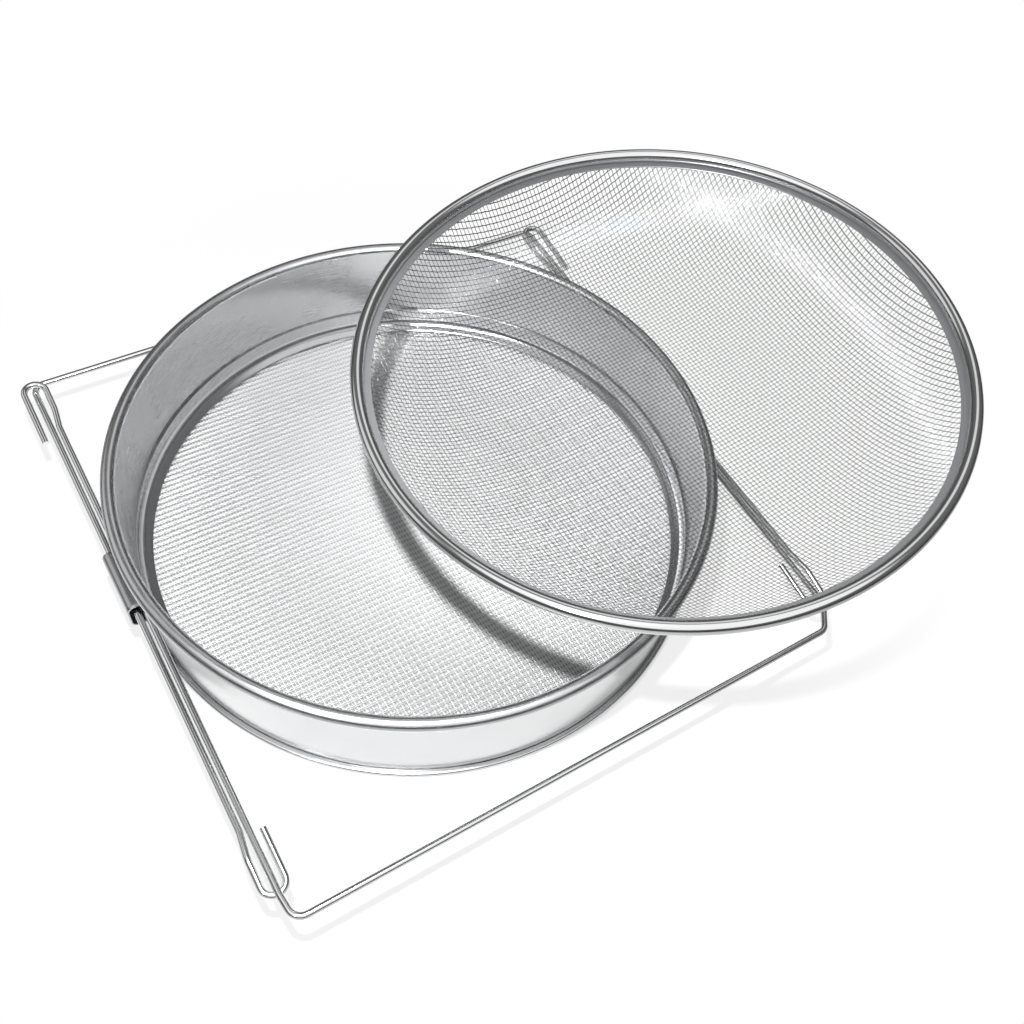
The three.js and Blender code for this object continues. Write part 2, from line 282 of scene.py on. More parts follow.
    @staticmethod
    def steps_from(corner: Point, steps: Points) -> list[Point]:
        """Returns the points that lie the given steps, in millimetres, from a corner."""
        return [(corner[0] + out * MM, corner[1] + rise * MM) for out, rise in steps]

    @staticmethod
    def wire(name: str, route: list[Vector], radius: float) -> Piece:
        """Bends a round wire with flat-cut ends along a route.

        Args:
            name: name of the new piece.
            route: the points the wire's middle passes through.
            radius: the wire's radius.

        Returns:
            The wire as a mesh.
        """
        Bench.clear()
        bpy.ops.curve.primitive_nurbs_path_add()
        piece = bpy.context.object
        piece.name = piece.data.name = name
        curve = piece.data
        curve.splines.clear()
        spline = curve.splines.new("POLY")
        spline.points.add(len(route) - 1)
        for knot, point in zip(spline.points, route):
            knot.co = (*point, 1.0)
        curve.dimensions = "3D"
        curve.twist_mode = "MINIMUM"
        curve.bevel_depth = radius
        curve.bevel_resolution = WIRE_ROUNDNESS
        curve.use_fill_caps = True
        bpy.ops.object.convert(target="MESH")
        piece = bpy.context.object
        bpy.ops.object.mode_set(mode="EDIT")
        Bench.tidy_skin()
        return piece


class Nodes:
    """Small steps of wiring up a shader."""

    @staticmethod
    def feed(tree: Tree, value: Socket | float, socket: Socket) -> None:
        """Links a socket to another, or sets it to a number.

        Args:
            tree: the tree that holds both.
            value: the socket or number to feed in.
            socket: the socket that takes it.
        """
        if isinstance(value, bpy.types.NodeSocket):
            tree.links.new(value, socket)
        else:
            socket.default_value = value

    @staticmethod
    def maths(tree: Tree, kind: str, first: Socket | float, second: Socket | float) -> Socket:
        """Adds a Math node.

        Args:
            tree: the tree to add it to.
            kind: the node's operation.
            first: its first value.
            second: its second value.

        Returns:
            The node's result.
        """
        node = tree.nodes.new("ShaderNodeMath")
        node.operation = kind
        for socket, value in zip(node.inputs, (first, second)):
            Nodes.feed(tree, value, socket)
        return node.outputs["Value"]

    @staticmethod
    def noise(tree: Tree, vector: Socket, scale: float, detail: float) -> Socket:
        """Adds a noise texture.

        Args:
            tree: the tree to add it to.
            vector: the place it is read at.
            scale: how fine it is.
            detail: how many finer layers it has.

        Returns:
            The noise, from 0 to 1.
        """
        node = tree.nodes.new("ShaderNodeTexNoise")
        node.inputs["Scale"].default_value = scale
        node.inputs["Detail"].default_value = detail
        tree.links.new(vector, node.inputs["Vector"])
        return node.outputs["Fac"]

    @staticmethod
    def compare(tree: Tree, kind: str, place: Socket, spot: Vector | Colour) -> Socket:
        """Adds a Vector Math node that sets a place against a fixed one.

        Args:
            tree: the tree to add it to.
            kind: the node's operation.
            place: the place that varies.
            spot: the fixed place or direction.

        Returns:
            The node's value.
        """
        node = tree.nodes.new("ShaderNodeVectorMath")
        node.operation = kind
        node.inputs[1].default_value = spot
        tree.links.new(place, node.inputs[0])
        return node.outputs["Value"]

    @staticmethod
    def blend(tree: Tree, share: Socket, first: Socket | float, second: Socket | float) -> Socket:
        """Adds a Mix node for two values.

        Args:
            tree: the tree to add it to.
            share: 0 where the first value holds, 1 where the second does.
            first: the first value.
            second: the second value.

        Returns:
            The blended value.
        """
        mix = tree.nodes.new("ShaderNodeMix")
        mix.data_type = "FLOAT"
        tree.links.new(share, mix.inputs["Factor"])
        Nodes.feed(tree, first, mix.inputs["A"])
        Nodes.feed(tree, second, mix.inputs["B"])
        return mix.outputs["Result"]


def unrolled(tree: Tree, vector: Socket) -> Socket:
    """Unrolls a place about the Z axis, so that marks on it run round.

    Args:
        tree: the tree to add the nodes to.
        vector: the place.

    Returns:
        The way round, drawn out, then the distance from the axis and the height.
    """
    maths = partial(Nodes.maths, tree)
    parts = tree.nodes.new("ShaderNodeSeparateXYZ")
    tree.links.new(vector, parts.inputs["Vector"])
    x, y, z = (parts.outputs[axis] for axis in "XYZ")
    around = maths("MULTIPLY", maths("ARCTAN2", y, x), TURN_STRETCH)
    square = maths("ADD", maths("MULTIPLY", x, x), maths("MULTIPLY", y, y))
    joined = tree.nodes.new("ShaderNodeCombineXYZ")
    tree.links.new(around, joined.inputs["X"])
    tree.links.new(maths("POWER", square, 0.5), joined.inputs["Y"])
    tree.links.new(z, joined.inputs["Z"])
    return joined.outputs["Vector"]


def steel_marks(grain: Grain) -> Tree:
    """Builds, once for each way the marks run, the group that streaks and stains steel.

    Args:
        grain: turned marks run round the Z axis, drawn marks lie at random.

    Returns:
        A group with colour, roughness and height outputs.
    """
    name = f"steel_marks_{grain.value}"
    made = bpy.data.node_groups.get(name)
    if made:
        return made
    made = bpy.data.node_groups.new(name, "ShaderNodeTree")
    for way, sockets in (("INPUT", MARK_INPUTS), ("OUTPUT", MARK_OUTPUTS)):
        for label, kind in sockets:
            made.interface.new_socket(label, in_out=way, socket_type=kind)
    maths = partial(Nodes.maths, made)
    link = made.links.new
    given = made.nodes.new("NodeGroupInput").outputs
    out = made.nodes.new("NodeGroupOutput").inputs
    place = given["Vector"]
    along = unrolled(made, place) if grain is Grain.TURNED else place
    fine = Nodes.noise(made, along, MARK_FINENESS[grain], MARK_DETAIL)
    broad = Nodes.noise(made, place, CLOUD_FINENESS, CLOUD_DETAIL)
    streak = maths("MULTIPLY", maths("SUBTRACT", fine, 0.5), given["Streaks"])
    cloud = maths("MULTIPLY", maths("SUBTRACT", broad, 0.5), given["Stain"])
    rough = maths("ADD", given["Roughness"], maths("ADD", streak, cloud))
    link(maths("MAXIMUM", rough, LEAST_ROUGHNESS), out["Roughness"])
    tone = made.nodes.new("ShaderNodeHueSaturation")
    link(given["Colour"], tone.inputs["Color"])
    lighter = maths("ADD", maths("MULTIPLY", streak, STREAK_TONE), 1.0)
    link(maths("ADD", maths("MULTIPLY", cloud, -1.0), lighter), tone.inputs["Value"])
    link(tone.outputs["Color"], out["Colour"])
    link(maths("ADD", fine, maths("MULTIPLY", broad, given["Sway"])), out["Height"])
    return made


@dataclass(frozen=True)
class SteelFinish:
    """A stainless finish: metal colour, gloss, and the marks that rolling or drawing left."""

    name: str
    colour: Colour
    roughness: float
    grain: Grain
    streaks: float
    relief: float
    stain: float
    anisotropy: float = 0.0
    sway: float = 0.0
    metal: float = 1.0
    centre: tuple[float, float, float] = (0.0, 0.0, 0.0)
    turn: tuple[float, float, float] = (0.0, 0.0, 0.0)

    def about(self, place: Matrix) -> "SteelFinish":
        """Returns the same finish, turned about the Z axis of a place."""
        return replace(self, centre=tuple(place.translation), turn=tuple(place.to_euler()))

    def material(self) -> bpy.types.Material:
        """Builds the procedural material of this finish, once.

        Returns:
            The material.
        """
        made = bpy.data.materials.get(self.name)
        if made:
            return made
        made = bpy.data.materials.new(self.name)
        made.use_nodes = True
        tree = made.node_tree
        shader = tree.nodes["Principled BSDF"]
        shader.inputs["Metallic"].default_value = self.metal
        shader.inputs["Anisotropic"].default_value = self.anisotropy
        place = tree.nodes.new("ShaderNodeTexCoord")
        mapping = tree.nodes.new("ShaderNodeMapping")
        mapping.vector_type = "TEXTURE"
        mapping.inputs["Location"].default_value = self.centre
        mapping.inputs["Rotation"].default_value = self.turn
        tree.links.new(place.outputs["Object"], mapping.inputs["Vector"])
        marks = tree.nodes.new("ShaderNodeGroup")
        marks.node_tree = steel_marks(self.grain)
        marks.inputs["Colour"].default_value = (*self.colour, 1.0)
        marks.inputs["Roughness"].default_value = self.roughness
        marks.inputs["Streaks"].default_value = self.streaks
        marks.inputs["Stain"].default_value = self.stain
        marks.inputs["Sway"].default_value = self.sway
        tree.links.new(mapping.outputs["Vector"], marks.inputs["Vector"])
        tree.links.new(marks.outputs["Colour"], shader.inputs["Base Color"])
        tree.links.new(marks.outputs["Roughness"], shader.inputs["Roughness"])
        bump = tree.nodes.new("ShaderNodeBump")
        bump.inputs["Strength"].default_value = RELIEF_STRENGTH
        bump.inputs["Distance"].default_value = self.relief * MM
        tree.links.new(marks.outputs["Height"], bump.inputs["Height"])
        tree.links.new(bump.outputs["Normal"], shader.inputs["Normal"])
        return made


# The drum's inside, its outside and its scuffed rolled rim
SATIN_SHEET = SteelFinish(
    "satin_sheet", (0.58, 0.585, 0.595), roughness=0.25, grain=Grain.TURNED,
    streaks=0.26, relief=0.035, stain=0.45, anisotropy=0.3, sway=20.0)
OUTER_SHEET = SteelFinish(
    "outer_sheet", (0.63, 0.635, 0.64), roughness=0.2, grain=Grain.TURNED,
    streaks=0.16, relief=0.015, stain=0.12, sway=20.0)
BEAD_SHEET = SteelFinish(
    "scuffed_bead", (0.68, 0.685, 0.695), roughness=0.27, grain=Grain.TURNED,
    streaks=0.2, relief=0.03, stain=0.2)
# The ring that clamps the fine cloth
BRIGHT_SHEET = SteelFinish(
    "bright_clamp", (0.52, 0.525, 0.535), roughness=0.14, grain=Grain.TURNED,
    streaks=0.08, relief=0.01, stain=0.05, anisotropy=0.2, metal=0.94)
# The upper sieve's polished rim, and its brush-finished, partly dull inner flange, whose colour is
# painted shade: dark grey, far darker than its steel
RIM_SHEET = SteelFinish(
    "polished_rim", (0.88, 0.885, 0.89), roughness=0.10, grain=Grain.TURNED,
    streaks=0.06, relief=0.01, stain=0.04)
SHADED_FLANGE_SHEET = SteelFinish(
    "brushed_flange_painted_shade", (0.17, 0.173, 0.178), roughness=0.34, grain=Grain.TURNED,
    streaks=0.1, relief=0.01, stain=0.06, metal=0.3)
# Wires, and the folded clips
ARM_WIRE = SteelFinish(
    "drawn_wire", (0.82, 0.825, 0.83), roughness=0.12, grain=Grain.DRAWN,
    streaks=0.05, relief=0.004, stain=0.08)
CLIP_SHEET = SteelFinish(
    "clip_steel", (0.55, 0.555, 0.565), roughness=0.28, grain=Grain.DRAWN,
    streaks=0.12, relief=0.02, stain=0.1)
CORE_WIRE = SteelFinish(
    "core_wire_steel", (0.5, 0.505, 0.515), roughness=0.4, grain=Grain.DRAWN,
    streaks=0.1, relief=0.02, stain=0.1)
FINE_WIRE = SteelFinish(
    "fine_weave_wire", (0.82, 0.825, 0.83), roughness=0.42, grain=Grain.DRAWN,
    streaks=0.06, relief=0.002, stain=0.06, metal=0.6)
# The coarse wires' colour, 0.19, is painted shade: far darker than their steel, standing in for
# the dim room they reflect
SHADED_COARSE_WIRE = SteelFinish(
    "coarse_weave_wire", (0.19, 0.193, 0.197), roughness=0.16, grain=Grain.DRAWN,
    streaks=0.04, relief=0.002, stain=0.06)


def finish_piece(piece: Piece, node: str, finish: SteelFinish, body: Body,
                 sharp: float) -> None:
    """Smooths, paints and registers a finished piece.

    Args:
        piece: the finished piece, with its place in its mesh.
        node: the solid it stands for.
        finish: the steel finish it takes.
        body: the moving group it rides on.
        sharp: angle in degrees above which edges stay sharp, 0 to leave the shading alone.
    """
    if sharp:
        Bench.smooth(piece, sharp)
    piece.data.materials.clear()
    piece.data.materials.append(finish.material())
    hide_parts(node)
    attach(piece, body.value)
    LOG.info("%s: %d faces on %s", piece.name, len(piece.data.polygons), body.value)


@dataclass
class Weave:
    """A plain-woven wire cloth, trimmed round."""

    name: str
    pitch: float
    wire: float
    sides: int
    trim: float

    def sheet(self, run: Run) -> Piece:
        """Weaves one set of wires flat about the origin.

        Args:
            run: which set, warp or weft.

        Returns:
            The set of wires, trimmed to the round.
        """
        Bench.clear()
        half = self.wire / 2
        rise = half if run is Run.WARP else -half
        pairs = math.ceil(self.trim / self.pitch)
        reach = pairs * self.pitch
        bpy.ops.mesh.primitive_circle_add(vertices=self.sides, radius=half)
        piece = bpy.context.object
        piece.name = piece.data.name = f"{self.name}_{run.name.lower()}"
        bpy.ops.object.mode_set(mode="EDIT")
        bpy.ops.transform.rotate(value=math.pi / 2, orient_axis="Y", center_override=(0, 0, 0))
        bpy.ops.transform.translate(value=(-reach, -reach, rise))
        for way in (-1, 1):
            bpy.ops.mesh.extrude_region_move(
                TRANSFORM_OT_translate={"value": (self.pitch, 0.0, way * 2 * rise)})
        bpy.ops.mesh.select_all(action="SELECT")
        bpy.ops.mesh.normals_make_consistent(inside=False)
        bpy.ops.object.mode_set(mode="OBJECT")
        self.repeat(piece, (2 * self.pitch, 0.0, 0.0), pairs, True)
        bpy.ops.object.mode_set(mode="EDIT")
        bpy.ops.mesh.select_all(action="SELECT")
        bpy.ops.mesh.duplicate_move(
            TRANSFORM_OT_translate={"value": (self.pitch, self.pitch, 0.0)})
        bpy.ops.object.mode_set(mode="OBJECT")
        self.repeat(piece, (0.0, 2 * self.pitch, 0.0), pairs + 1, False)
        self.trim_round(piece)
        Bench.settle(piece, Matrix.Rotation(math.radians(run.value), 4, "Z"))
        return piece

    @staticmethod
    def repeat(piece: Piece, step: tuple[float, float, float], count: int, joined: bool) -> None:
        """Repeats a piece in a row with an applied Array modifier.

        Args:
            piece: the active piece.
            step: the way from one copy to the next.
            count: how many there are in the row.
            joined: whether neighbours that touch become one.
        """
        row = piece.modifiers.new("row", "ARRAY")
        row.use_relative_offset = False
        row.use_constant_offset = True
        row.constant_offset_displace = step
        row.count = count
        row.use_merge_vertices = joined
        row.merge_threshold = ROW_WELD
        bpy.ops.object.modifier_apply(modifier=row.name)

    def trim_round(self, piece: Piece) -> None:
        """Cuts away what lies outside the round, draws the ends back to it and closes them.

        Args:
            piece: the active piece, a square of wires along X.
        """
        places = Bench.corners(piece)
        half = np.sqrt(np.maximum(self.trim ** 2 - places[:, 1] ** 2, 0.0))
        past_end = np.abs(places[:, 0]) > half + self.pitch
        past_side = np.abs(places[:, 1]) > LAST_WIRE * self.trim
        Bench.pick(past_end | past_side)
        bpy.ops.mesh.delete(type="VERT")
        bpy.ops.mesh.select_all(action="SELECT")
        bpy.ops.mesh.delete_loose()
        bpy.ops.object.mode_set(mode="OBJECT")
        places = Bench.corners(piece)
        half = np.sqrt(self.trim ** 2 - places[:, 1] ** 2)
        places[:, 0] = np.clip(places[:, 0], -half, half)
        Bench.move_corners(piece, places)
        bpy.ops.object.mode_set(mode="EDIT")
        bpy.ops.mesh.select_all(action="SELECT")
        bpy.ops.mesh.fill_holes(sides=self.sides)
        bpy.ops.mesh.select_all(action="SELECT")
        bpy.ops.mesh.faces_shade_smooth()
        bpy.ops.object.mode_set(mode="OBJECT")


@dataclass
class DrumSieve:
    """The lower sieve: rolled sheet drum, clamp ring, fine weave and the two guide clips.

    Small steps of an outline, such as hem_lip, are in millimetres outwards and upwards.
    """

    centre: Vector
    steps: int = 192
    hair: float = 0.05 * MM
    seat: float = 0.3 * MM
    inner: float = 116.2 * MM
    height: float = 50.4 * MM
    sheet: float = 0.7 * MM
    bead: float = 2.75 * MM
    curl_end: float = -125.0
    curl_steps: tuple[int, int] = (14, 28)
    hem_reach: float = 2.2 * MM
    hem_height: float = 2.0 * MM
    hem_start: float = -75.0
    hem_steps: int = 8
    hem_lip: Points = ((0.5, 0.0), (0.3, -0.8), (0.0, -0.8))
    flange: float = 5.0 * MM
    fold: Points = ((0.0, 0.4), (-0.4, 0.0))
    clamp_top: float = 12.3 * MM
    clamp_foot: float = 2.6 * MM
    clamp_sheet: float = 0.7 * MM
    clamp_reach: float = 4.4 * MM
    clamp_knee: float = 4.2 * MM
    clamp_lip_steps: int = 6
    clamp_toe: Points = ((0.0, 0.0), (0.5, -0.2))
    clamp_heel: Points = ((-2.2, 0.9), (-0.7, 2.0))
    clamp_bend: Points = ((0.0, 0.6), (-0.35, -0.7), (-1.3, -2.0), (-2.7, -2.9))
    clamp_edge: Points = ((0.3, 0.75), (-0.1, 0.4))
    cloth_pitch: float = 1.27 * MM
    cloth_wire: float = 0.5 * MM
    cloth_sides: int = 3
    cloth_room: float = 0.6 * MM
    cloth_height: float = 1.65 * MM
    draw: float = 0.3 * MM
    clip_low: float = 15.7 * MM
    clip_high: float = 28.8 * MM
    clip_out: float = 125.0 * MM
    clip_sheet: float = 0.8 * MM
    clip_length: float = 27.5 * MM
    clip_offset: float = 8.7 * MM
    clip_corner: float = 3.2 * MM
    clip_lead: float = 1.5 * MM
    clip_steps: int = 16
    clip_corner_steps: int = 8
    clip_edge: float = 0.2 * MM
    clip_edge_steps: int = 2
    clip_edge_angle: float = 50.0

    def place(self) -> Matrix:
        """Returns the drum's place in the strainer."""
        return Matrix.Translation(self.centre)

    def build(self) -> None:
        """Builds every piece of the drum sieve."""
        self.wall()
        self.clamp()
        self.weave()
        for side in (-1, 1):
            self.clip(side)

    def wall(self) -> None:
        """Turns the sheet wall with its rolled rim, hem and base flange."""
        outer = self.inner + self.sheet
        middle = (self.inner + self.bead, self.height - self.bead)
        half = self.hem_height / 2
        hem = (outer + self.hem_reach - half, half)
        inside_steps, outside_steps = self.curl_steps
        points = [(self.inner - self.flange, 0.0), (hem[0], 0.0)]
        points += Bench.arc(hem, half, self.hem_start, 90, self.hem_steps)
        points += Bench.steps_from((outer, self.hem_height), self.hem_lip)
        points.append((outer, self.height / 2))
        points += Bench.arc(middle, self.bead - self.sheet, 180, self.curl_end, inside_steps)
        points += Bench.arc(middle, self.bead, self.curl_end, 180, outside_steps)
        points.append((self.inner, self.height / 2))
        points += Bench.steps_from((self.inner, self.sheet), self.fold)
        points.append((self.inner - self.flange, self.sheet))
        piece = Bench.ring("drum_shell", points, self.steps)
        Bench.settle(piece, self.place())
        self.dress(piece, "drum_wall", "drum_sheet", SATIN_SHEET.about(self.place()))
        for finish in (OUTER_SHEET, BEAD_SHEET):
            piece.data.materials.append(finish.about(self.place()).material())
        inside, outside, rolled = range(len(piece.data.materials))
        for face in piece.data.polygons:
            away = face.center - self.centre
            if face.center.z < self.height - 2 * self.bead:
                outward = face.normal.dot(away.normalized()) > 0.0
                face.material_index = outside if outward else inside
            else:
                past_wall = away.to_2d().length > self.inner + self.hair
                face.material_index = rolled if past_wall else inside

    def clamp(self) -> None:
        """Turns the bright ring that holds the fine weave down."""
        out = self.inner - self.hair
        inside = self.inner - self.seat - self.clamp_sheet
        foot = self.clamp_foot
        toe = inside - self.clamp_reach
        knee = foot + self.clamp_knee
        lip = self.clamp_sheet / 2
        points = Bench.steps_from((toe, foot), self.clamp_toe)
        points += Bench.steps_from((out, foot), self.clamp_heel)
        points += [(out, knee - self.clamp_sheet), (out, self.clamp_top)]
        points += Bench.arc((inside + lip, self.clamp_top), lip, 0, 180, self.clamp_lip_steps)
        points += Bench.steps_from((inside, knee), self.clamp_bend)
        points += Bench.steps_from((toe, foot), self.clamp_edge)
        piece = Bench.ring("clamp_ring_bright", points, self.steps)
        Bench.settle(piece, self.place())
        self.dress(piece, "clamp_ring", "bright_sheet", BRIGHT_SHEET.about(self.place()))

    def weave(self) -> None:
        """Weaves the fine cloth across the drum's bottom, its wires drawn together in pairs."""
        cloth = Weave("fine_weave", self.cloth_pitch, self.cloth_wire, self.cloth_sides,
                      self.inner - self.cloth_room)
        for run in Run:
            piece = cloth.sheet(run)
            places = Bench.corners(piece)
            places[:, 1] += self.draw * np.cos(np.pi * places[:, 1] / cloth.pitch)
            Bench.move_corners(piece, places)
            Bench.settle(piece, self.place() @ Matrix.Translation((0, 0, self.cloth_height)))
            self.dress(piece, "lower_mesh", "fine_weave", FINE_WIRE, WOVEN_CREASE)

    def clip(self, side: int) -> None:
        """Folds one guide clip: a rounded channel whose edges follow the drum.

        Args:
            side: -1 for the left clip, 1 for the right.
        """
        skin = self.clip_sheet / 2
        right = self.clip_out - skin
        low, high = self.clip_low + skin, self.clip_high - skin
        corner = self.clip_corner - skin
        root = self.inner + self.sheet
        lead = root + self.clip_lead
        turn_steps = self.clip_corner_steps
        points = [(root, low), (lead, low)]
        points += Bench.arc((right - corner, low + corner), corner, -90, 0, turn_steps)
        points += Bench.arc((right - corner, high - corner), corner, 0, 90, turn_steps)
        points += [(lead, high), (root, high)]
        name = "left_clip" if side < 0 else "right_clip"
        piece = Bench.outline(f"{name}_sheet", points)
        bpy.ops.transform.translate(value=(0.0, -self.clip_length / 2, 0.0))
        for _ in range(self.clip_steps):
            bpy.ops.mesh.extrude_region_move(
                TRANSFORM_OT_translate={"value": (0.0, self.clip_length / self.clip_steps, 0.0)})
        Bench.tidy_skin()
        edge = root + self.seat + self.hair
        for corner_point in piece.data.vertices:
            spot = corner_point.co
            spot.y += self.clip_offset
            if spot.x < root + self.hair:
                spot.x = math.sqrt(edge * edge - spot.y * spot.y)
            spot.x *= side
        thick = piece.modifiers.new("sheet", "SOLIDIFY")
        thick.thickness = self.clip_sheet
        thick.offset = 0.0
        bpy.ops.object.modifier_apply(modifier=thick.name)
        round_off = piece.modifiers.new("edges", "BEVEL")
        round_off.width = self.clip_edge
        round_off.segments = self.clip_edge_steps
        round_off.limit_method = "ANGLE"
        round_off.angle_limit = math.radians(self.clip_edge_angle)
        bpy.ops.object.modifier_apply(modifier=round_off.name)
        bpy.ops.object.mode_set(mode="EDIT")
        Bench.tidy_skin()
        Bench.settle(piece, self.place())
        self.dress(piece, name, "clip_sheet", CLIP_SHEET)

    def dress(self, piece: Piece, node: str, slot: str, finish: SteelFinish,
              sharp: float = SHEET_CREASE) -> None:
        """Gives a piece its finish and its place in the moving model."""
        finish_piece(piece, node, finish, Body.DRUM, sharp)


@dataclass
class UpperSieve:
    """The loose upper sieve: rolled rim and coarse woven bowl.

    Small steps of an outline, such as edge_under, are in millimetres outwards and upwards.
    """

    centre: Vector
    lean: float = -17.0
    tilt: float = 5.8
    steps: int = 224
    rim: float = 121.2 * MM
    bead: float = 2.7 * MM
    sheet: float = 0.6 * MM
    flange: float = 2.4 * MM
    curl_start: float = 218.0
    curl_foot: float = -90.0
    curl_steps: tuple[int, int] = (14, 34)
    edge_under: Points = ((0.2, 0.0), (0.0, 0.2))
    edge_over: Points = ((0.0, -0.15), (0.15, 0.0), (0.4, 0.0))
    # The flange's finish, painted dark as shade, takes the faces this share of the bead in from
    # the rim and below this height
    brushed_shaded_reach: float = 0.4
    brushed_shaded_top: float = -1.9 * MM
    joint_turn: float = 136.0
    joint_gap: float = 0.0016
    cloth_pitch: float = 1.84 * MM
    cloth_wire: float = 0.28 * MM
    cloth_sides: int = 4
    cloth_edge: float = 117.3 * MM
    cloth_drop: float = 3.15 * MM
    depth: float = 36.0 * MM
    power: float = 4.2

    def place(self) -> Matrix:
        """Tilts the sieve the way it leans.

        Returns:
            The sieve's place, about the middle of its rim.
        """
        turn = math.radians(self.lean)
        hinge = Vector((math.sin(turn), -math.cos(turn), 0.0))
        return Matrix.Translation(self.centre) @ Matrix.Rotation(math.radians(self.tilt), 4, hinge)

    def build(self) -> None:
        """Builds every piece of the upper sieve."""
        self.rolled_rim()
        self.bowl()

    def rolled_rim(self) -> None:
        """Rolls the rim: a bead with an inner flange and one butt joint."""
        tip = self.rim - self.bead - self.flange
        middle = (self.rim, 0.0)
        top = -self.bead + self.sheet
        start, foot = self.curl_start, self.curl_foot
        inside_steps, outside_steps = self.curl_steps
        points = Bench.arc(middle, self.bead, start, foot, outside_steps)
        points += Bench.steps_from((tip, -self.bead), self.edge_under)
        points += Bench.steps_from((tip, top), self.edge_over)
        points.append((self.rim - self.bead / 2, top))
        points += Bench.arc(middle, self.bead - self.sheet, foot, start, inside_steps)
        piece = Bench.ring("upper_rim_rolled", points, self.steps, self.joint_gap)
        place = self.place()
        Bench.settle(piece, place @ Matrix.Rotation(math.radians(self.joint_turn), 4, "Z"))
        self.dress(piece, "upper_rim", "bright_sheet", RIM_SHEET.about(place), SHEET_CREASE)
        piece.data.materials.append(SHADED_FLANGE_SHEET.about(place).material())
        # Faces in from the bead and below the flange's top take the flange's finish, painted dark
        # as shade
        inward = place.inverted()
        brushed_shaded_edge = self.rim - self.brushed_shaded_reach * self.bead
        for face in piece.data.polygons:
            spot = inward @ face.center
            low = spot.z < self.brushed_shaded_top
            face.material_index = int(math.hypot(spot.x, spot.y) < brushed_shaded_edge and low)

    def bowl(self) -> None:
        """Weaves the coarse cloth and presses it to the bowl."""
        cloth = Weave("coarse_weave", self.cloth_pitch, self.cloth_wire, self.cloth_sides,
                      self.cloth_edge)
        for run in Run:
            piece = cloth.sheet(run)
            places = Bench.corners(piece)
            share = np.hypot(places[:, 0], places[:, 1]) / self.cloth_edge
            places[:, 2] -= self.cloth_drop + self.depth * (1 - share ** self.power)
            Bench.move_corners(piece, places)
            Bench.settle(piece, self.place())
            piece.visible_shadow = False
            self.dress(piece, "upper_mesh", "coarse_weave", SHADED_COARSE_WIRE, WOVEN_CREASE)

    def dress(self, piece: Piece, node: str, slot: str, finish: SteelFinish, sharp: float) -> None:
        """Gives a piece its finish and its place in the moving model."""
        finish_piece(piece, node, finish, Body.UPPER, sharp)


